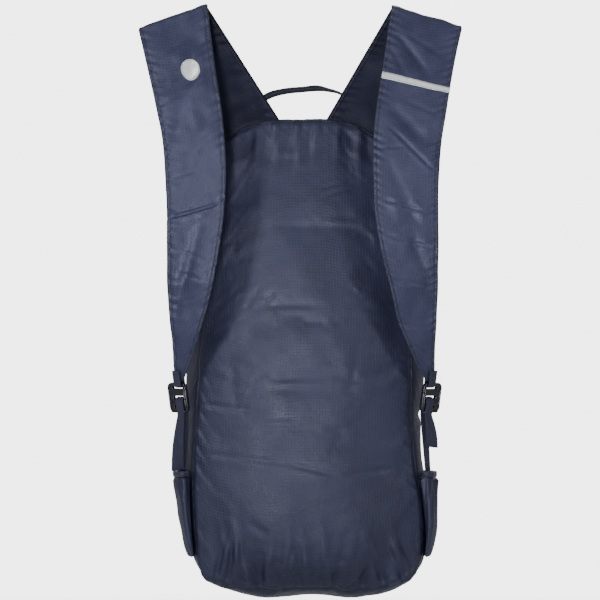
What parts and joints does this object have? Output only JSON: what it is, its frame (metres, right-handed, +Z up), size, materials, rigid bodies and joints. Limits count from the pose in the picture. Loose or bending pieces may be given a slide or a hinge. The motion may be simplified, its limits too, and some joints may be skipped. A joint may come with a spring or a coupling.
{
  "type": "packable backpack",
  "caption": "Light packable daypack of thin ripstop with flat folded shoulder straps, ladder-lock buckles, side pockets, a top zip and a thin haul loop, hung by the loop.",
  "frame": {"origin": "middle of the underside of the haul loop, where a hook carries the bag", "axes": "+Z up as the bag hangs, +Y from the back panel that the wearer leans on to the front, +X across to the right of someone who looks at the back panel"},
  "size_m": [0.3049, 0.1883, 0.5633],
  "materials": {
    "ripstop": "thin satin nylon ripstop",
    "strap_ripstop": "thin satin nylon ripstop over flat mesh",
    "webbing": "ribbed nylon webbing",
    "binding": "folded nylon binding",
    "zip_tape": "woven zip tape with coil teeth",
    "plastic": "moulded acetal, softly glossy",
    "reflective": "silver grey reflective film"
  },
  "bodies": {
    "root": {"back_panel": "ripstop", "front_panel": "ripstop", "base_panel": "ripstop", "gusset_left": "ripstop", "gusset_right": "ripstop", "top_gusset_rear": "ripstop", "top_gusset_front": "ripstop", "main_zip": "zip_tape", "zip_slider": "plastic", "pocket_left": "ripstop", "pocket_right": "ripstop", "pocket_hem_left": "binding", "pocket_hem_right": "binding", "strap_left": "strap_ripstop", "strap_right": "strap_ripstop", "buckle_left": "plastic", "buckle_right": "plastic", "buckle_tie_left": "webbing", "buckle_tie_right": "webbing", "webbing_left": "webbing", "webbing_right": "webbing", "reflective_band": "reflective", "reflective_dot": "reflective", "haul_loop": "binding"}
  },
  "joints": []
}
